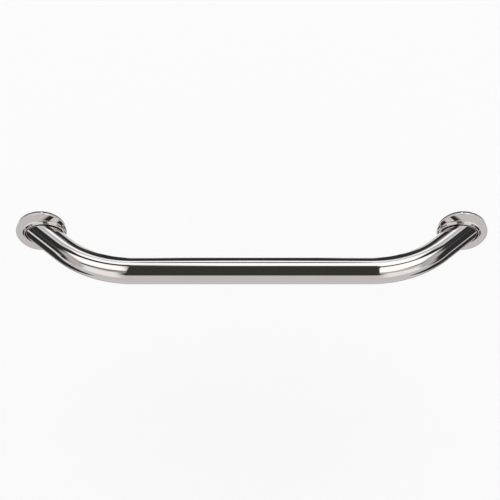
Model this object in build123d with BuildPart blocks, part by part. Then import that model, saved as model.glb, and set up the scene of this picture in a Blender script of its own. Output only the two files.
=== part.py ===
from build123d import *

import os
from math import cos, radians, sin, tan

# Grab rail for a boat: one bent, polished stainless tube on two round stud-mounted feet.
# Millimetres. The wall (or deck) is the plane Y = 0 and the rail stands off it towards -Y.
# +X runs along the rail and +Z is up. The origin is on the wall, midway between the two studs.

os.makedirs("parts", exist_ok=True)

# ---- Rail tube -------------------------------------------------------------
TUBE_OD = 25.4           # one inch marine tube
TUBE_WALL = 1.5
STUD_CENTRES = 406.4     # sixteen inches between the two fixing studs
BEND_RADIUS = 92.0       # to the tube's centre line
LEG_ANGLE = 46.0         # between a leg and the wall, in degrees
LEG_LENGTH = 40.0        # straight centre line from the bend down to the wall plane
CROSSING = 4.0           # height over the wall where a leg's axis crosses its stud's axis

# ---- Pressed flange cover --------------------------------------------------
FLANGE_OD = 49.0
FLANGE_SHEET = 1.2
FLANGE_LIFT = 0.3        # air under the rim, taken up by the gasket
RIM_HEIGHT = 4.2
RIM_ROUND = 0.5
RIM_DRAW_IN = 0.3        # how much narrower the rim is at its foot
CONE_ANGLE = 4.0         # slope of the face towards the neck
NECK_GAP = 0.8           # between the neck and the tube
NECK_LIP = 0.9           # metal round the tube at the top of the neck
NECK_TOP = 7.6           # above the wall
NECK_FOOT = 4.0          # inside the sheet, so that the neck grows out of the face
NECK_WAIST = 0.12        # share of the flare that is left halfway up the neck
NECK_FLARE = 2.6         # how far the neck's foot spreads beyond its lip, outboard and at the sides
INBOARD_FLARE = 0.8      # the same towards the middle of the rail, where the rim is close

# ---- Plate, gasket and weld nut inside the flange --------------------------
PLATE_OD = 41.0
PLATE_THICKNESS = 3.0
PLATE_HOLE = 8.4
GASKET_OD = 46.0
GASKET_ID = 41.6
GASKET_THICKNESS = 2.4
WELD_NUT_FLATS = 13.0
WELD_NUT_HEIGHT = 6.5

# ---- M8 stud, washers and nut ----------------------------------------------
SHANK_D = 8.0
SHANK_LENGTH = 5.5       # plain length through the panel
THREAD_D = 7.2           # plain cylinder at the M8 pitch diameter
STUD_REACH = 20.25       # from the wall plane to the stud's tip
STUD_CHAMFER = 0.8
PANEL_GRIP = 6.0         # panel thickness that the washers are drawn for
FLAT_WASHER_OD = 24.0
FLAT_WASHER_ID = 8.4
FLAT_WASHER_THICKNESS = 2.0
SPRING_WASHER_OD = 14.8
SPRING_WASHER_ID = 8.3
SPRING_WASHER_THICKNESS = 2.0
SPRING_WASHER_SLOT = 1.2
NUT_FLATS = 13.0
NUT_HEIGHT = 6.5
NUT_BORE = 7.3           # runs 0.05 clear of the thread cylinder all round
NUT_FACE = 0.97          # round bearing face as a part of the width over flats

# ---- Derived positions -----------------------------------------------------
TUBE_R = TUBE_OD / 2
HALF_CENTRES = STUD_CENTRES / 2
ANGLE = radians(LEG_ANGLE)
STAND_OFF = BEND_RADIUS * (1 - cos(ANGLE)) + LEG_LENGTH * sin(ANGLE)
LEAN = 1 / tan(ANGLE)    # inboard shift of the leg for each millimetre above the wall
LEG_FOOT = HALF_CENTRES + CROSSING * LEAN
HALF_STRAIGHT = LEG_FOOT - BEND_RADIUS * sin(ANGLE) - LEG_LENGTH * cos(ANGLE)
SPRING_START = PANEL_GRIP + FLAT_WASHER_THICKNESS
NUT_START = SPRING_START + SPRING_WASHER_THICKNESS


def foot_plane(side):
    """Plane on the wall at one stud: local X points outboard and local Z away from the wall."""
    return Plane(origin=(side * HALF_CENTRES, 0, 0), x_dir=(side, 0, 0), z_dir=(0, -1, 0))


def profile_plane(foot):
    """Plane through the stud axis: local X outboard, local Y away from the wall."""
    return Plane(origin=foot.origin, x_dir=foot.x_dir, z_dir=foot.y_dir * -1)


def leg_plane(foot):
    """Plane square to the leg's axis where that axis crosses the stud's axis."""
    along = foot.z_dir * sin(ANGLE) - foot.x_dir * cos(ANGLE)
    return Plane(origin=foot.offset(CROSSING).origin, x_dir=foot.y_dir, z_dir=along)


# ---- The rail tube ---------------------------------------------------------
with BuildPart() as rail_tube:
    overrun = 12.0
    leg_x = HALF_STRAIGHT + BEND_RADIUS * sin(ANGLE)
    leg_y = -STAND_OFF + BEND_RADIUS * (1 - cos(ANGLE))
    end_x = LEG_FOOT + overrun * cos(ANGLE)
    end_y = overrun * sin(ANGLE)
    with BuildLine(Plane.XY) as centre_line:
        Line((-end_x, end_y), (-leg_x, leg_y))
        TangentArc((-leg_x, leg_y), (-HALF_STRAIGHT, -STAND_OFF), tangent=(cos(ANGLE), -sin(ANGLE)))
        Line((-HALF_STRAIGHT, -STAND_OFF), (HALF_STRAIGHT, -STAND_OFF))
        TangentArc((HALF_STRAIGHT, -STAND_OFF), (leg_x, leg_y), tangent=(1, 0))
        Line((leg_x, leg_y), (end_x, end_y))
    with BuildSketch(Plane(origin=centre_line.line @ 0, z_dir=centre_line.line % 0)):
        Circle(TUBE_R)
        Circle(TUBE_R - TUBE_WALL, mode=Mode.SUBTRACT)
    sweep(path=centre_line.line)
    split(bisect_by=Plane(origin=(0, -PLATE_THICKNESS, 0), z_dir=(0, -1, 0)), keep=Keep.TOP)
rail_tube.part.label = "rail_tube"
export_step(rail_tube.part, "parts/rail_tube.step")

# ---- Both feet -------------------------------------------------------------
for name, side in (("left", -1), ("right", 1)):
    foot = foot_plane(side)
    stud_axis = Axis(foot.origin, foot.z_dir)
    flange_r = FLANGE_OD / 2
    cone_rise = tan(radians(CONE_ANGLE))

    # The cover: a shallow dish with a flared neck that the leaning tube passes through.
    with BuildPart() as flange_cover:
        with BuildSketch(profile_plane(foot)):
            with BuildLine():
                Polyline(
                    (0, FLANGE_LIFT),
                    (flange_r - RIM_DRAW_IN, FLANGE_LIFT),
                    (flange_r, RIM_HEIGHT - RIM_ROUND),
                )
                TangentArc(
                    (flange_r, RIM_HEIGHT - RIM_ROUND),
                    (flange_r - RIM_ROUND, RIM_HEIGHT),
                    tangent=(0, 1),
                )
                Polyline(
                    (flange_r - RIM_ROUND, RIM_HEIGHT),
                    (0, RIM_HEIGHT + (flange_r - RIM_ROUND) * cone_rise),
                    (0, FLANGE_LIFT),
                )
            make_face()
        revolve(axis=stud_axis)
        inner_r = flange_r - FLANGE_SHEET
        with BuildSketch(profile_plane(foot)):
            Polygon(
                (0, FLANGE_LIFT),
                (inner_r, FLANGE_LIFT),
                (inner_r, RIM_HEIGHT - FLANGE_SHEET),
                (0, RIM_HEIGHT - FLANGE_SHEET + inner_r * cone_rise),
                align=None,
            )
        revolve(axis=stud_axis, mode=Mode.SUBTRACT)
        hole_y = TUBE_R + NECK_GAP
        hole_x = hole_y / sin(ANGLE)
        shift = (NECK_TOP - CROSSING) * LEAN
        waist = (NECK_FOOT + NECK_TOP) / 2
        for height, spread in ((NECK_FOOT, 1), (waist, NECK_WAIST), (NECK_TOP, 0)):
            outboard = hole_x + NECK_LIP - shift + spread * (NECK_FLARE + shift)
            inboard = hole_x + NECK_LIP + shift + spread * INBOARD_FLARE
            with BuildSketch(foot.offset(height)):
                with Locations(((outboard - inboard) / 2, 0)):
                    Ellipse((outboard + inboard) / 2, hole_y + NECK_LIP + spread * NECK_FLARE)
        loft()
        with BuildSketch(leg_plane(foot)):
            Circle(hole_y)
        extrude(amount=40, both=True, mode=Mode.SUBTRACT)
    flange_cover.part.label = f"{name}_flange_cover"
    export_step(flange_cover.part, f"parts/{name}_flange_cover.step")

    # The round flat pieces: the plate that the tube is welded to, the rubber ring between the
    # plate and the cover's rim, and the wide washer that bears on the back of the panel.
    for piece, start, thickness, outer, inner in (
        ("backing_plate", 0, PLATE_THICKNESS, PLATE_OD, PLATE_HOLE),
        ("gasket_ring", 0, GASKET_THICKNESS, GASKET_OD, GASKET_ID),
        ("flat_washer", -SPRING_START, FLAT_WASHER_THICKNESS, FLAT_WASHER_OD, FLAT_WASHER_ID),
    ):
        with BuildPart() as flat_ring:
            with BuildSketch(foot.offset(start)):
                Circle(outer / 2)
                Circle(inner / 2, mode=Mode.SUBTRACT)
            extrude(amount=thickness)
        flat_ring.part.label = f"{name}_{piece}"
        export_step(flat_ring.part, f"parts/{name}_{piece}.step")

    # The hexagons: the nut welded to the plate inside the tube's end, and the nut that draws
    # the foot down. A revolved barrel trims their corners.
    for piece, start, height, flats in (
        ("weld_nut", PLATE_THICKNESS, WELD_NUT_HEIGHT, WELD_NUT_FLATS),
        ("hex_nut", -NUT_START - NUT_HEIGHT, NUT_HEIGHT, NUT_FLATS),
    ):
        corner = flats / 3 ** 0.5
        trim = (corner - flats / 2 * NUT_FACE) * tan(radians(30))
        with BuildPart() as nut:
            with BuildSketch(foot.offset(start)):
                RegularPolygon(radius=corner, side_count=6, rotation=30)
                Circle(NUT_BORE / 2, mode=Mode.SUBTRACT)
            extrude(amount=height)
            with BuildSketch(profile_plane(foot)):
                with Locations((0, start)):
                    Polygon(
                        (0, 0),
                        (flats / 2 * NUT_FACE, 0),
                        (corner, trim),
                        (corner, height - trim),
                        (flats / 2 * NUT_FACE, height),
                        (0, height),
                        align=None,
                    )
            revolve(axis=stud_axis, mode=Mode.INTERSECT)
        nut.part.label = f"{name}_{piece}"
        export_step(nut.part, f"parts/{name}_{piece}.step")

    # The stud: threaded at both ends with a plain length through the panel.
    with BuildPart() as stud:
        top = PLATE_THICKNESS + WELD_NUT_HEIGHT
        with BuildSketch(profile_plane(foot)):
            Polygon(
                (0, -STUD_REACH),
                (THREAD_D / 2 - STUD_CHAMFER, -STUD_REACH),
                (THREAD_D / 2, -STUD_REACH + STUD_CHAMFER),
                (THREAD_D / 2, -SHANK_LENGTH),
                (SHANK_D / 2, -SHANK_LENGTH),
                (SHANK_D / 2, 0),
                (THREAD_D / 2, 0),
                (THREAD_D / 2, top - STUD_CHAMFER),
                (THREAD_D / 2 - STUD_CHAMFER, top),
                (0, top),
                align=None,
            )
        revolve(axis=stud_axis)
    stud.part.label = f"{name}_stud"
    export_step(stud.part, f"parts/{name}_stud.step")

    # The spring washer, split by a slanting slot.
    with BuildPart() as spring_washer:
        with BuildSketch(foot.offset(-NUT_START)):
            Circle(SPRING_WASHER_OD / 2)
            Circle(SPRING_WASHER_ID / 2, mode=Mode.SUBTRACT)
        extrude(amount=SPRING_WASHER_THICKNESS)
        middle = foot.offset(-NUT_START + SPRING_WASHER_THICKNESS / 2)
        with BuildSketch(Plane(origin=middle.origin, x_dir=middle.y_dir, z_dir=middle.x_dir)):
            Rectangle(SPRING_WASHER_SLOT, 3 * SPRING_WASHER_THICKNESS, rotation=25)
        extrude(amount=SPRING_WASHER_OD, mode=Mode.SUBTRACT)
    spring_washer.part.label = f"{name}_spring_washer"
    export_step(spring_washer.part, f"parts/{name}_spring_washer.step")
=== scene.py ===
import math

import bmesh
import bpy
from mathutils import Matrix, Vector


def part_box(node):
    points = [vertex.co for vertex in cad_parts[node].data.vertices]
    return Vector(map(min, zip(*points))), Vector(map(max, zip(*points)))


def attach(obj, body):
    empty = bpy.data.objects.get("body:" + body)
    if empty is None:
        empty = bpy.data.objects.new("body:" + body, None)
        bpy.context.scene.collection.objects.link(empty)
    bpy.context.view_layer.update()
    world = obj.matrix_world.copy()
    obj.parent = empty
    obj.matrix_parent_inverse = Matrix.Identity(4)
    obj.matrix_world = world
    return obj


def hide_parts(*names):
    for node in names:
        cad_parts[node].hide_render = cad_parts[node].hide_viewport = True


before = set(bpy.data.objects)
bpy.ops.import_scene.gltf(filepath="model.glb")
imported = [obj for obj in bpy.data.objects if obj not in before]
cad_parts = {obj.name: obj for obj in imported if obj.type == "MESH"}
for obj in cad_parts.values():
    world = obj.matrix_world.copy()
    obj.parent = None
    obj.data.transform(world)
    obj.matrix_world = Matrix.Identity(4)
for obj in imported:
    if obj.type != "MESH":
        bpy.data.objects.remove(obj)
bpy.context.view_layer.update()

# ---- Sizes read from the frame, in metres ----
TUBE_LOW, TUBE_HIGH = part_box("rail_tube")
TUBE_RADIUS = TUBE_HIGH.z
STAND_OFF = -TUBE_LOW.y - TUBE_RADIUS
STUD_LOW, STUD_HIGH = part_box("right_stud")
HALF_CENTRES = (STUD_LOW.x + STUD_HIGH.x) / 2

# ---- Camera: in front of the rail and above it, looking down its mid-line ----
CAMERA_ELEVATION = math.radians(44.976)
CAMERA_PITCH = math.radians(44.442)
CAMERA_DISTANCE = 2.1153
FOCAL_PIXELS = 2228.17
FRAME_PIXELS = 500
OFF_CENTRE_PIXELS = -1.738
SENSOR_WIDTH = 36
VIEW_REACH = 50   # metres; the floor goes on past the frame


def make_camera():
    data = bpy.data.cameras.new("camera")
    camera = bpy.data.objects.new("camera", data)
    bpy.context.scene.collection.objects.link(camera)
    reach = CAMERA_DISTANCE * math.cos(CAMERA_ELEVATION)
    height = CAMERA_DISTANCE * math.sin(CAMERA_ELEVATION)
    camera.location = (0, -STAND_OFF - reach, height)
    camera.rotation_euler = (math.pi / 2 - CAMERA_PITCH, 0, 0)
    data.sensor_width = SENSOR_WIDTH
    data.lens = FOCAL_PIXELS * SENSOR_WIDTH / FRAME_PIXELS
    data.shift_x = OFF_CENTRE_PIXELS / FRAME_PIXELS
    data.clip_end = VIEW_REACH
    bpy.context.scene.camera = camera


make_camera()
bpy.context.scene.view_settings.view_transform = "Standard"


# ---- Node helpers ----
# Places of the colour sockets on a Mix node.
MIX_SHARE, MIX_FIRST, MIX_SECOND, MIX_RESULT = 0, 6, 7, 2


def plug(tree, socket, value):
    """Links value to socket if it is another node's output, or sets it."""
    if isinstance(value, bpy.types.NodeSocket):
        tree.links.new(value, socket)
    else:
        socket.default_value = value


def calc(tree, operation, *values):
    """The output of a Math node with the given inputs."""
    node = tree.nodes.new("ShaderNodeMath")
    node.operation = operation
    for socket, value in zip(node.inputs, values):
        plug(tree, socket, value)
    return node.outputs[0]


def step(tree, value, start, end):
    """0 before start and 1 after end, with a smooth rise between; end may be below start."""
    node = tree.nodes.new("ShaderNodeMapRange")
    node.interpolation_type = "SMOOTHSTEP"
    plug(tree, node.inputs["Value"], value)
    low, high, rising = (start, end, True) if end > start else (end, start, False)
    node.inputs["From Min"].default_value = low
    node.inputs["From Max"].default_value = high
    node.inputs["To Min"].default_value = 0 if rising else 1
    node.inputs["To Max"].default_value = 1 if rising else 0
    return node.outputs["Result"]


def band(tree, value, low, high, soft):
    """1 between low and high, with edges that fade over soft on each side of them."""
    up = step(tree, value, low - soft, low + soft)
    down = step(tree, value, high + soft, high - soft)
    return calc(tree, "MULTIPLY", up, down)


def blend_colour(tree, share, first, second):
    """first where share is 0 and second where it is 1."""
    node = tree.nodes.new("ShaderNodeMix")
    node.data_type = "RGBA"
    plug(tree, node.inputs[MIX_SHARE], share)
    plug(tree, node.inputs[MIX_FIRST], first)
    plug(tree, node.inputs[MIX_SECOND], second)
    return node.outputs[MIX_RESULT]


# ---- Studio: a dome of cards round the rail ----
# "side" is the angle to the left or right of the rail's mid-plane, in degrees: to the right for a
# RIGHT card, to the left for a LEFT card, and either way for a BOTH card. "rise" is the angle
# round the rail's long axis: 0 is the horizon in front, 90 overhead, 180 the horizon behind and
# -90 below. "lean" raises a card by that many degrees for each degree to the side. A later card
# covers an earlier one.
NEUTRAL = (1, 1, 1)
CREAM = (1, 0.985, 0.955)
WARM = (1, 0.965, 0.95)
OLIVE = (1, 0.99, 0.84)
UNLIT = (0.045, 0.045, 0.045)
SOFTBOX = 1.85
BOTH, LEFT, RIGHT = "both", "left", "right"
ACROSS = -40   # starts a card on the far side of the mid-plane, so that it has no edge there
# name: where, (side from, to, soft edge), (rise from, to, soft edge), lean, brightness, tint
CARDS = {
    "floor_behind": (BOTH, (ACROSS, 28, 3), (-177, -118, 4), 0, 1.2, NEUTRAL),
    "floor_behind_sides": (BOTH, (50, 95, 3), (-177, -118, 4), 0, 1.2, NEUTRAL),
    "horizon_behind": (BOTH, (5, 28, 2), (169, 190, 2), 0, 1.2, NEUTRAL),
    "behind_middle": (BOTH, (ACROSS, 2.2, 0.6), (-190, -164, 3), 0, 0.06, NEUTRAL),
    "floor_below": (BOTH, (ACROSS, 30, 3), (-125, 2, 3), 0, 0.93, WARM),
    "under_edge": (BOTH, (ACROSS, 28, 3), (-135, -102, 4), 0, 0.5, WARM),
    "floor_front": (BOTH, (ACROSS, 58, 6), (-58, 2, 3), 0, 0.93, WARM),
    "front_sweep": (BOTH, (14, 54, 6), (-24, 32, 6), 0, 1.42, CREAM),
    "side_panel": (BOTH, (49, 66, 4), (-20, 76, 8), 0, 0.75, WARM),
    "side_softbox_left": (LEFT, (6, 47, 5), (42, 82.5, 2), 0.1, SOFTBOX, CREAM),
    "side_softbox_right": (RIGHT, (-2, 47, 5), (16, 65.5, 2), 0.6, SOFTBOX, CREAM),
    "grey_panel_left": (LEFT, (-2, 32, 9), (25, 42, 6), 0, 0.5, WARM),
    "grey_panel_right": (RIGHT, (-2, 50, 8), (16, 27, 4), 0, 0.68, WARM),
    "low_strip_left": (LEFT, (57, 86, 3), (-56, -26, 5), 0, 1.2, NEUTRAL),
    "low_strip_end_left": (LEFT, (74, 86, 2), (-50, 0, 6), 0, 1.2, NEUTRAL),
    "low_strip_right": (RIGHT, (54, 74, 3), (25, 47, 5), -1.6, 0.95, NEUTRAL),
    "top_softbox_left": (LEFT, (-2, 25, 2), (96.5, 131, 2), 0.1, SOFTBOX, NEUTRAL),
    "top_softbox_right": (RIGHT, (-2, 24, 2), (76, 126, 2), 0.6, SOFTBOX, NEUTRAL),
    "top_edge": (BOTH, (26, 37.5, 1.5), (106, 130, 2), 0, 1.1, NEUTRAL),
    "top_middle": (BOTH, (ACROSS, 4, 1), (110, 142, 1.5), -1.5, SOFTBOX, NEUTRAL),
    "seam": (BOTH, (ACROSS, 3.2, 0.5), (116, 127, 1.5), 0, 0.08, NEUTRAL),
    "seam_end": (BOTH, (3, 15, 1.5), (115, 124, 2), 0, 0.95, NEUTRAL),
    "top_grey": (BOTH, (14, 29, 2), (112, 123, 3), 0, 0.83, NEUTRAL),
    "front_gap_left": (LEFT, (0, 10.3, 0.6), (8, 88, 2), 0, 0.06, OLIVE),
    "front_gap_right": (RIGHT, (0, 11.4, 0.6), (8, 84, 2), 0, 0.06, OLIVE),
}
# Degrees that the side edges of a card move in for each degree of rise.
GAP_TILT = {"front_gap_left": 0.07, "front_gap_right": 0.045}
# A halo that stands behind all the cards and lights the upright walls of the flange rims.
HALO_BACK = (42.5, 72, 1)   # angle from straight behind: low, high, soft edge
HALO_SIDE = (3.5, 6)        # side angles between which it fades in
HALO_BRIGHTNESS = 0.95
SOFT_LIGHT = (1, 1, 1, 1)   # what lights everything that isn't a mirror


def lit(brightness, tint):
    return (*(brightness * part for part in tint), 1)


def make_studio():
    """The cards, which only mirror rays see, and an even white light for all other rays."""
    world = bpy.data.worlds.new("studio")
    bpy.context.scene.world = world
    world.use_nodes = True
    tree = world.node_tree
    tree.nodes.clear()
    direction = tree.nodes.new("ShaderNodeTexCoord").outputs["Generated"]
    split = tree.nodes.new("ShaderNodeSeparateXYZ")
    tree.links.new(direction, split.inputs[0])
    x, y, z = split.outputs
    to_degrees = math.degrees(1)
    right = calc(tree, "MULTIPLY", calc(tree, "ARCSINE", x), to_degrees)
    left = calc(tree, "MULTIPLY", right, -1)
    angles = {RIGHT: right, LEFT: left, BOTH: calc(tree, "ABSOLUTE", right)}
    front = calc(tree, "MULTIPLY", y, -1)
    rise = calc(tree, "MULTIPLY", calc(tree, "ARCTAN2", z, front), to_degrees)
    back = calc(tree, "MULTIPLY", calc(tree, "ARCCOSINE", y), to_degrees)
    halo = calc(tree, "MULTIPLY", band(tree, back, *HALO_BACK), step(tree, angles[BOTH], *HALO_SIDE))
    colour = blend_colour(tree, halo, (*UNLIT, 1), lit(HALO_BRIGHTNESS, WARM))
    for name, (where, side_span, rise_span, lean, brightness, tint) in CARDS.items():
        tilted = calc(tree, "MULTIPLY", rise, GAP_TILT.get(name, 0))
        across = band(tree, calc(tree, "ADD", angles[where], tilted), *side_span)
        lifted = calc(tree, "SUBTRACT", rise, calc(tree, "MULTIPLY", angles[BOTH], lean))
        share = calc(tree, "MULTIPLY", across, band(tree, lifted, *rise_span))
        colour = blend_colour(tree, share, colour, lit(brightness, tint))
    mirrored = tree.nodes.new("ShaderNodeBackground")
    plug(tree, mirrored.inputs["Color"], colour)
    plain = tree.nodes.new("ShaderNodeBackground")
    plain.inputs["Color"].default_value = SOFT_LIGHT
    choose = tree.nodes.new("ShaderNodeMixShader")
    path = tree.nodes.new("ShaderNodeLightPath")
    tree.links.new(path.outputs["Is Glossy Ray"], choose.inputs[0])
    tree.links.new(plain.outputs[0], choose.inputs[1])
    tree.links.new(mirrored.outputs[0], choose.inputs[2])
    output = tree.nodes.new("ShaderNodeOutputWorld")
    tree.links.new(choose.outputs[0], output.inputs["Surface"])


FLOOR_DEPTH = 0.25
FLOOR_HALF = 6.0
FLOOR_COLOUR = (0.97, 0.97, 0.97, 1)


def make_floor():
    """A pale floor below the rail. The rail mirrors the studio's cards and not this sheet."""
    mesh = bpy.data.meshes.new("floor")
    half = FLOOR_HALF
    corners = [(-half, -half), (half, -half), (half, half), (-half, half)]
    mesh.from_pydata([(x, y, -FLOOR_DEPTH) for x, y in corners], [], [(0, 1, 2, 3)])
    floor = bpy.data.objects.new("floor", mesh)
    bpy.context.scene.collection.objects.link(floor)
    floor.visible_glossy = False
    material = bpy.data.materials.new("floor")
    material.use_nodes = True
    shader = material.node_tree.nodes["Principled BSDF"]
    shader.inputs["Base Color"].default_value = FLOOR_COLOUR
    shader.inputs["Roughness"].default_value = 1
    shader.inputs["Specular IOR Level"].default_value = 0
    mesh.materials.append(material)


make_floor()
make_studio()

# ---- Meshes ----
LAY = "lay"   # attribute that the fine lines of a finish follow: they run where it hardly changes
# Edges that turn by more than this many degrees stay sharp.
CREASE = 35
STUD_CREASE = 44   # keeps the 45 degree chamfers crisp and the threads smooth
NUT_CREASE = 28    # keeps the 30 degree chamfers crisp


def add_piece(node, body, slot, points, lay, faces, crease=CREASE):
    """A smooth piece that stands for a CAD node and rides on the node's body."""
    mesh = bpy.data.meshes.new(node + "_skin")
    mesh.from_pydata(points, [], faces)
    shape = bmesh.new()
    shape.from_mesh(mesh)
    bmesh.ops.recalc_face_normals(shape, faces=shape.faces)
    shape.to_mesh(mesh)
    shape.free()
    mesh.shade_smooth()
    mesh.set_sharp_from_angle(angle=math.radians(crease))
    stored = mesh.attributes.new(LAY, "FLOAT_VECTOR", "POINT")
    stored.data.foreach_set("vector", [number for vector in lay for number in vector])
    mesh.materials.append(FINISHES[slot])
    piece = bpy.data.objects.new(node + "_skin", mesh)
    bpy.context.scene.collection.objects.link(piece)
    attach(piece, body)
    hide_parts(node)


def join_rings(rings, loop=False, caps=False):
    """Quads between rings of as many points each.

    loop joins the last ring to the first, and caps closes them both.
    """
    count = len(rings[0])
    pairs = list(zip(range(len(rings)), range(1, len(rings))))
    if loop:
        pairs.append((len(rings) - 1, 0))
    faces = []
    for first, second in pairs:
        for i in range(count):
            j = (i + 1) % count
            corners = ((first, i), (first, j), (second, j), (second, i))
            faces.append(tuple(ring * count + point for ring, point in corners))
    if caps:
        faces.append(tuple(range(count)))
        faces.append(tuple(range((len(rings) - 1) * count, len(rings) * count)))
    return faces


def flat_list(rings):
    return [point for ring in rings for point in ring]


def turns(count):
    """Evenly spaced angles, once round."""
    return [2 * math.pi * i / count for i in range(count)]


# ---- Rail tube: swept along its bent centre line ----
BEND_RADIUS = 0.092
LEG_ANGLE = math.radians(46)   # between a leg and the wall
LEG_LENGTH = 0.040
TUBE_WALL = 0.0015
TUBE_AROUND = 128
CROSSING = 0.004   # height over the wall where a leg's axis crosses its stud's axis
LEAN = 1 / math.tan(LEG_ANGLE)
LEG_FOOT = HALF_CENTRES + CROSSING * LEAN
HALF_STRAIGHT = LEG_FOOT - BEND_RADIUS * math.sin(LEG_ANGLE) - LEG_LENGTH * math.cos(LEG_ANGLE)
STRAIGHT_STEPS, BEND_STEPS, LEG_STEPS = 12, 64, 8
LEG_PART = 0.4   # share of a leg that has rings of its own before the cut at the plate
ALONG_STRETCH = 0.02   # how fast the lay changes along the tube, against across it


def centre_line():
    """Points, directions and distances of the tube's centre line, from the left foot to the right."""
    right = []
    for i in range(STRAIGHT_STEPS + 1):
        x = HALF_STRAIGHT * i / STRAIGHT_STEPS
        right.append((Vector((x, -STAND_OFF, 0)), Vector((1, 0, 0)), x))
    for i in range(1, BEND_STEPS + 1):
        turn = LEG_ANGLE * i / BEND_STEPS
        x = HALF_STRAIGHT + BEND_RADIUS * math.sin(turn)
        y = -STAND_OFF + BEND_RADIUS * (1 - math.cos(turn))
        along = Vector((math.cos(turn), math.sin(turn), 0))
        right.append((Vector((x, y, 0)), along, HALF_STRAIGHT + BEND_RADIUS * turn))
    bend_end, along, distance = right[-1]
    for i in range(1, LEG_STEPS + 1):
        further = LEG_LENGTH * LEG_PART * i / LEG_STEPS
        right.append((bend_end + along * further, along, distance + further))
    left = [(Vector((-p.x, p.y, 0)), Vector((d.x, -d.y, 0)), -s) for p, d, s in right[:0:-1]]
    return left + right


def tube_rings(radius):
    """Rings along the tube, cut square to the wall at both feet, with the lay of each point."""
    rings, lays = [], []
    line = centre_line()
    for position, along, distance in line:
        sideways = Vector((along.y, -along.x, 0))
        ring, lay = [], []
        for turn in turns(TUBE_AROUND):
            out = radius * (sideways * math.cos(turn) + Vector((0, 0, math.sin(turn))))
            ring.append(position + out)
            lay.append((distance * ALONG_STRETCH, radius * math.cos(turn), radius * math.sin(turn)))
        rings.append(ring)
        lays.append(lay)
    ends = []
    for ring, (_, along, _) in ((rings[0], line[0]), (rings[-1], line[-1])):
        ends.append([p + along * ((TUBE_HIGH.y - p.y) / along.y) for p in ring])
    return [ends[0], *rings, ends[1]], [lays[0], *lays, lays[-1]]


def make_tube():
    """The outside from foot to foot and the bore back again, closed at the cut ends."""
    outside, outside_lay = tube_rings(TUBE_RADIUS)
    inside, inside_lay = tube_rings(TUBE_RADIUS - TUBE_WALL)
    rings = outside + inside[::-1]
    lay = outside_lay + inside_lay[::-1]
    faces = join_rings(rings, loop=True)
    add_piece("rail_tube", "rail", "polished_tube", flat_list(rings), flat_list(lay), faces)


# ---- Flange covers: a shallow dish that flares up into a neck round the leaning tube ----
FLANGE_SHEET = 0.0012
RIM_HEIGHT = 0.0042
RIM_ROUND = 0.0005
FACE_SLOPE = math.tan(math.radians(4))
NECK_GAP = 0.0008     # between the neck and the tube
NECK_LIP = 0.0009     # metal round the tube at the top of the neck
NECK_TOP = 0.0076     # above the wall
NECK_FLARE = 0.0026   # how far the neck's foot spreads beyond its lip, outboard and at the sides
INBOARD_FLARE = 0.0008
RIM_DRAW_IN = 0.0003  # how much narrower the rim is at its foot
RIM_CURL = 0.0021     # height over which it draws in
BEND_SHARE = 0.4      # share of the neck's height that its curved foot takes
BEND_REACH = 0.86     # share of its flare; the straight wall above takes the rest
COVER_AROUND = 192
FOOT_STEPS, ROUND_STEPS, FACE_STEPS, FLARE_STEPS, LIP_STEPS = 6, 6, 8, 12, 8
HOLE_HALF = TUBE_RADIUS + NECK_GAP
HOLE_LONG = HOLE_HALF / math.sin(LEG_ANGLE)   # half the length of the slanting cut at wall level
LIP_HEIGHT = NECK_TOP - NECK_LIP / 2


def face_height(outboard, up, face_radius, rim_height):
    """Height over the wall of a cone that meets its rim at face_radius."""
    return rim_height + (face_radius - math.hypot(outboard, up)) * FACE_SLOPE


def hole_point(turn, height, grow):
    """Where a cylinder round the leaning tube cuts a level plane, grown by a margin."""
    middle = (CROSSING - height) * LEAN
    return middle + (HOLE_LONG + grow) * math.cos(turn), (HOLE_HALF + grow) * math.sin(turn), height


def mix(first, second, across, rising):
    """A point part of the way from first to second, by separate shares across and in height."""
    outboard = first[0] + (second[0] - first[0]) * across
    up = first[1] + (second[1] - first[1]) * across
    return outboard, up, first[2] + (second[2] - first[2]) * rising


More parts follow.
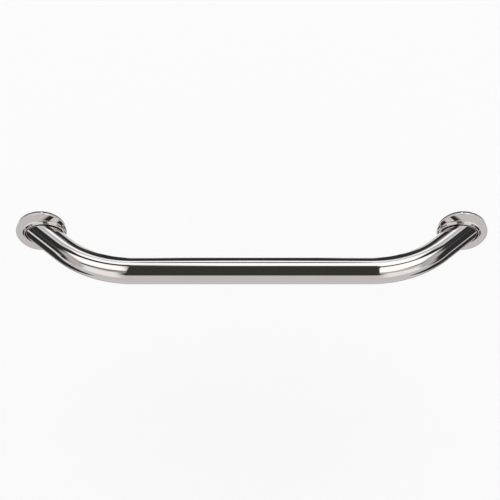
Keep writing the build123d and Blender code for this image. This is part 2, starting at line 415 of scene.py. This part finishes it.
def cover_column(turn, radius, lift):
    """Points (outboard, up, height) of one section of the cover, from the rim's foot inwards."""
    cos, sin = math.cos(turn), math.sin(turn)
    column = []
    for i in range(FOOT_STEPS + 1):
        curl = math.radians(90 * i / FOOT_STEPS)
        wall = radius - RIM_DRAW_IN * (1 - math.sin(curl))
        column.append((wall * cos, wall * sin, lift + RIM_CURL * (1 - math.cos(curl))))
    column.append((radius * cos, radius * sin, RIM_HEIGHT - RIM_ROUND))
    face_radius = radius - RIM_ROUND
    for i in range(1, ROUND_STEPS + 1):
        corner = math.radians(90 * i / ROUND_STEPS)
        reach = face_radius + RIM_ROUND * math.cos(corner)
        column.append((reach * cos, reach * sin, RIM_HEIGHT - RIM_ROUND * (1 - math.sin(corner))))
    rim_edge = column[-1]
    outboard_end = HOLE_LONG + NECK_LIP + NECK_FLARE
    inboard_end = HOLE_LONG + NECK_LIP + (NECK_TOP - CROSSING) * LEAN + INBOARD_FLARE
    foot_outboard = (outboard_end - inboard_end) / 2 + (outboard_end + inboard_end) / 2 * cos
    foot_up = (HOLE_HALF + NECK_LIP + NECK_FLARE) * sin
    foot = (foot_outboard, foot_up, face_height(foot_outboard, foot_up, face_radius, RIM_HEIGHT))
    for i in range(1, FACE_STEPS + 1):
        outboard, up, _ = mix(rim_edge, foot, i / FACE_STEPS, 0)
        column.append((outboard, up, face_height(outboard, up, face_radius, RIM_HEIGHT)))
    lip = hole_point(turn, LIP_HEIGHT, NECK_LIP)
    bend_top = mix(foot, lip, BEND_REACH, BEND_SHARE)
    for i in range(1, FLARE_STEPS + 1):
        sweep = math.radians(90 * i / FLARE_STEPS)
        column.append(mix(foot, bend_top, math.sin(sweep), 1 - math.cos(sweep)))
    column.append(lip)
    edge = hole_point(turn, LIP_HEIGHT, 0)
    for i in range(1, LIP_STEPS + 1):
        sweep = math.radians(180 * i / LIP_STEPS)
        outboard, up, _ = mix(lip, edge, (1 - math.cos(sweep)) / 2, 0)
        column.append((outboard, up, LIP_HEIGHT + NECK_LIP / 2 * math.sin(sweep)))
    inner_radius = radius - FLANGE_SHEET
    under_rim = RIM_HEIGHT - FLANGE_SHEET
    outboard, up, _ = hole_point(turn, under_rim, 0)
    column.append((outboard, up, face_height(outboard, up, inner_radius, under_rim)))
    column.append((inner_radius * cos, inner_radius * sin, under_rim))
    column.append((inner_radius * cos, inner_radius * sin, lift))
    return column


def make_cover(side, hand):
    """Closed sections turned round the stud's axis, with the outboard side away from the middle."""
    node = side + "_flange_cover"
    low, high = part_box(node)
    columns, lays = [], []
    for turn in turns(COVER_AROUND):
        column = cover_column(turn, high.z, -high.y)
        columns.append([Vector((hand * (HALF_CENTRES + u), -height, up)) for u, up, height in column])
        lays.append([(math.hypot(u, up), height, 0) for u, up, height in column])
    faces = join_rings(columns, loop=True)
    add_piece(node, "rail", "polished_flange", flat_list(columns), flat_list(lays), faces)


# ---- Turned and threaded pieces, round a stud's axis ----
AROUND = 48
RING_AROUND = 96
CORNER_STEPS = 3
THREAD_PITCH = 0.00125
THREAD_DEPTH = 0.00077
THREAD_STEPS = 12            # rings in each pitch
THREAD_CLEARANCE = 0.00006
LEVEL_MARGIN = 0.01          # share of a step that keeps a level off the ends of a thread
SHANK_END = 0.0055
RUN_OUT = 0.00125            # length over which a thread fades out at the shank
STUD_CHAMFER = 0.0010
NUT_CHAMFER = math.radians(30)
NUT_FACE = 0.97              # round bearing face as a share of the width over flats
EDGE_ROUND = 0.0002
GASKET_ROUND = 0.0004
SPRING_SLOT = 0.0012
SPRING_SLANT = math.tan(math.radians(25))
# Bore radius of each flat ring.
RING_HOLES = {
    "backing_plate": 0.0042,
    "gasket_ring": 0.0208,
    "flat_washer": 0.0042,
    "spring_washer": 0.00415,
}


def spin_point(centre, radius, turn, y):
    """A point on a circle round a stud's axis, turned from straight up towards +X."""
    return Vector((centre + radius * math.sin(turn), y, radius * math.cos(turn)))


def thread_radius(major, turn, y):
    """Radius of a right-handed thread that fades out over the plain shank."""
    wave = 0.5 + 0.5 * math.cos(2 * math.pi * (y / THREAD_PITCH) - turn)
    beyond = max(-y, y - SHANK_END)
    fade = min(1, max(0, beyond / RUN_OUT))
    return major - THREAD_DEPTH * (1 - wave) * fade


def thread_levels(low, high):
    """Evenly spaced positions along a thread, on the same grid for a stud and its nut."""
    spacing = THREAD_PITCH / THREAD_STEPS
    first = math.ceil(low / spacing + LEVEL_MARGIN)
    last = math.floor(high / spacing - LEVEL_MARGIN)
    return [low, *(i * spacing for i in range(first, last + 1)), high]


def plain_lay(rings, centre):
    """A lay that changes with radius and depth, so that fine lines run round the axis."""
    return [(math.hypot(p.x - centre, p.z), p.y, 0) for p in flat_list(rings)]


def make_stud(side, hand):
    """A stud with a plain shank, a thread at each end and chamfered tips."""
    node = side + "_stud"
    low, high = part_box(node)
    centre, major = hand * HALF_CENTRES, high.z
    rings = []
    for y in thread_levels(low.y, high.y):
        from_end = min(y - low.y, high.y - y)
        cone = major - STUD_CHAMFER + from_end
        ring = []
        for turn in turns(AROUND):
            radius = min(cone, thread_radius(major, turn, y))
            ring.append(spin_point(centre, radius, turn, y))
        rings.append(ring)
    faces = join_rings(rings, caps=True)
    add_piece(node, "rail", "fastener_steel", flat_list(rings), plain_lay(rings, centre), faces, STUD_CREASE)


def make_nut(side, hand, kind, body):
    """A hexagon nut, chamfered on both faces, whose thread fits the stud's."""
    node = f"{side}_{kind}"
    low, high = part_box(node)
    centre, corner = hand * HALF_CENTRES, high.z
    flat = corner * math.cos(math.radians(30))
    face_radius = flat * NUT_FACE
    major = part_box(side + "_stud")[1].z + THREAD_CLEARANCE
    sixth = math.pi / 3
    near_face, near_trim, far_trim, far_face = [], [], [], []
    for turn in turns(AROUND):
        radius = flat / math.cos(turn % sixth - sixth / 2)
        trim = (radius - face_radius) * math.tan(NUT_CHAMFER)
        near_face.append(spin_point(centre, face_radius, turn, low.y))
        near_trim.append(spin_point(centre, radius, turn, low.y + trim))
        far_trim.append(spin_point(centre, radius, turn, high.y - trim))
        far_face.append(spin_point(centre, face_radius, turn, high.y))
    rings = [near_face, near_trim, far_trim, far_face]
    for y in reversed(thread_levels(low.y, high.y)):
        from_end = min(y - low.y, high.y - y)
        sink = major + 2 * EDGE_ROUND - from_end
        ring = []
        for turn in turns(AROUND):
            radius = max(sink, thread_radius(major, turn, y))
            ring.append(spin_point(centre, radius, turn, y))
        rings.append(ring)
    slot = "plain_steel" if kind == "weld_nut" else "fastener_steel"
    faces = join_rings(rings, loop=True)
    add_piece(node, body, slot, flat_list(rings), plain_lay(rings, centre), faces, NUT_CREASE)


def rounded_section(inner, outer, low, high, edge):
    """Corner-rounded section of a ring as (radius, y) points, once round."""
    section = []
    corners = ((outer, high, 0), (inner, high, 90), (inner, low, 180), (outer, low, 270))
    for radius, y, start in corners:
        middle_radius = radius - edge if radius == outer else radius + edge
        middle_y = y - edge if y == high else y + edge
        for i in range(CORNER_STEPS + 1):
            angle = math.radians(start + 90 * i / CORNER_STEPS)
            across, along = edge * math.cos(angle), edge * math.sin(angle)
            section.append((middle_radius + across, middle_y + along))
    return section


def make_ring(side, hand, kind, body, slot, edge):
    """A flat ring with rounded edges: a washer, a plate or a gasket."""
    node = f"{side}_{kind}"
    low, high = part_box(node)
    centre = hand * HALF_CENTRES
    section = rounded_section(RING_HOLES[kind], high.z, low.y, high.y, edge)
    rings = [[spin_point(centre, radius, t, y) for t in turns(RING_AROUND)] for radius, y in section]
    faces = join_rings(rings, loop=True)
    add_piece(node, body, slot, flat_list(rings), plain_lay(rings, centre), faces)


def make_spring_washer(side, hand, body):
    """A split ring whose slanting slot faces outboard."""
    node = side + "_spring_washer"
    low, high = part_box(node)
    centre = hand * HALF_CENTRES
    middle_y = (low.y + high.y) / 2
    inner, outer = RING_HOLES["spring_washer"], high.z
    section = rounded_section(inner, outer, low.y, high.y, EDGE_ROUND)
    middle_radius = (inner + outer) / 2
    half_slot = SPRING_SLOT / 2 / middle_radius
    start = hand * math.pi / 2 + half_slot
    rings = []
    for i in range(RING_AROUND + 1):
        base = start + (2 * math.pi - 2 * half_slot) * i / RING_AROUND
        ring = []
        for radius, y in section:
            shear = (y - middle_y) * SPRING_SLANT / middle_radius
            ring.append(spin_point(centre, radius, base + shear, y))
        rings.append(ring)
    faces = join_rings(rings, caps=True)
    add_piece(node, body, "fastener_steel", flat_list(rings), plain_lay(rings, centre), faces)


# ---- Finishes ----
PATCH_SCALE = 45             # soft patches for each metre
NOISE_LOW, NOISE_HIGH = 0.3, 0.7   # most of a noise's values lie between these
LEAST_PATCH = 0.3            # share of the lines that still shows where a patch is weakest
LINE_SHARE = 0.7             # share of the roughness that the lines steer; the grain has the rest
LINE_DETAIL, GRAIN_DETAIL = 3, 2


def noise(tree, vector, scale, detail):
    node = tree.nodes.new("ShaderNodeTexNoise")
    node.inputs["Scale"].default_value = scale
    node.inputs["Detail"].default_value = detail
    tree.links.new(vector, node.inputs["Vector"])
    return node.outputs["Fac"]


def spread(tree, value, low, high):
    """Takes the middle of a noise, where most of its values are, to the range low to high."""
    node = tree.nodes.new("ShaderNodeMapRange")
    plug(tree, node.inputs["Value"], value)
    node.inputs["From Min"].default_value = NOISE_LOW
    node.inputs["From Max"].default_value = NOISE_HIGH
    node.inputs["To Min"].default_value = low
    node.inputs["To Max"].default_value = high
    return node.outputs["Result"]


def bump(tree, height, depth, normal=None):
    """Raises a surface by up to depth metres where height is 1."""
    node = tree.nodes.new("ShaderNodeBump")
    node.inputs["Strength"].default_value = 1
    node.inputs["Distance"].default_value = depth
    tree.links.new(height, node.inputs["Height"])
    if normal is not None:
        tree.links.new(normal, node.inputs["Normal"])
    return node.outputs["Normal"]


def to_range(tree, value, low, high):
    """Takes a value between 0 and 1 to the range low to high."""
    return calc(tree, "ADD", calc(tree, "MULTIPLY", value, high - low), low)


def make_finish(slot, clean, dull, metallic, roughness, lines, grain):
    """A finish whose colour and roughness vary along its lines and in soft patches.

    clean and dull are colours, roughness is its (lowest, highest) value, and lines and grain are
    each a (scale per metre, depth in metres) pair: lines follow the lay, grain has no direction.
    """
    material = bpy.data.materials.new(slot)
    material.use_nodes = True
    tree = material.node_tree
    shader = tree.nodes["Principled BSDF"]
    shader.inputs["Metallic"].default_value = metallic
    place = tree.nodes.new("ShaderNodeTexCoord").outputs["Object"]
    attribute = tree.nodes.new("ShaderNodeAttribute")
    attribute.attribute_name = LAY
    line_scale, line_depth = lines
    grain_scale, grain_depth = grain
    hairline = noise(tree, attribute.outputs["Vector"], line_scale, LINE_DETAIL)
    patch = noise(tree, place, PATCH_SCALE, LINE_DETAIL)
    fine = noise(tree, place, grain_scale, GRAIN_DETAIL)
    weight = spread(tree, patch, LEAST_PATCH, 1)
    share = calc(tree, "MULTIPLY", spread(tree, hairline, 0, 1), weight)
    colour = blend_colour(tree, share, (*clean, 1), (*dull, 1))
    tree.links.new(colour, shader.inputs["Base Color"])
    from_lines = calc(tree, "MULTIPLY", share, LINE_SHARE)
    mixed = calc(tree, "ADD", from_lines, spread(tree, fine, 0, 1 - LINE_SHARE))
    tree.links.new(to_range(tree, mixed, *roughness), shader.inputs["Roughness"])
    normal = bump(tree, fine, grain_depth, bump(tree, hairline, line_depth))
    tree.links.new(normal, shader.inputs["Normal"])
    return material


MIRROR = (0.565, 0.545, 0.54)
MIRROR_DULL = (0.535, 0.515, 0.512)
PLAIN = (0.50, 0.49, 0.485)
PLAIN_DULL = (0.36, 0.35, 0.345)
BRIGHT = (0.60, 0.59, 0.585)
BRIGHT_DULL = (0.44, 0.43, 0.425)
RUBBER = (0.022, 0.022, 0.024)
RUBBER_WORN = (0.05, 0.05, 0.052)
FINISHES = {
    "polished_tube": make_finish(
        "polished_tube", MIRROR, MIRROR_DULL, 1, (0.03, 0.06), (2200, 1e-8), (35, 2e-5)),
    "polished_flange": make_finish(
        "polished_flange", MIRROR, MIRROR_DULL, 1, (0.03, 0.07), (2600, 1e-8), (60, 8e-6)),
    "plain_steel": make_finish(
        "plain_steel", PLAIN, PLAIN_DULL, 1, (0.28, 0.46), (3000, 8e-6), (1400, 5e-6)),
    "fastener_steel": make_finish(
        "fastener_steel", BRIGHT, BRIGHT_DULL, 1, (0.14, 0.30), (4200, 3e-6), (1800, 2e-6)),
    "gasket_rubber": make_finish(
        "gasket_rubber", RUBBER, RUBBER_WORN, 0, (0.62, 0.86), (900, 1e-5), (2400, 2e-5)),
}

make_tube()
for side, hand in (("left", -1), ("right", 1)):
    make_cover(side, hand)
    make_ring(side, hand, "backing_plate", "rail", "plain_steel", EDGE_ROUND)
    make_ring(side, hand, "gasket_ring", "rail", "gasket_rubber", GASKET_ROUND)
    make_stud(side, hand)
    make_nut(side, hand, "weld_nut", "rail")
    make_ring(side, hand, "flat_washer", side + "_washers", "fastener_steel", EDGE_ROUND)
    make_spring_washer(side, hand, side + "_washers")
    make_nut(side, hand, "hex_nut", side + "_nut")
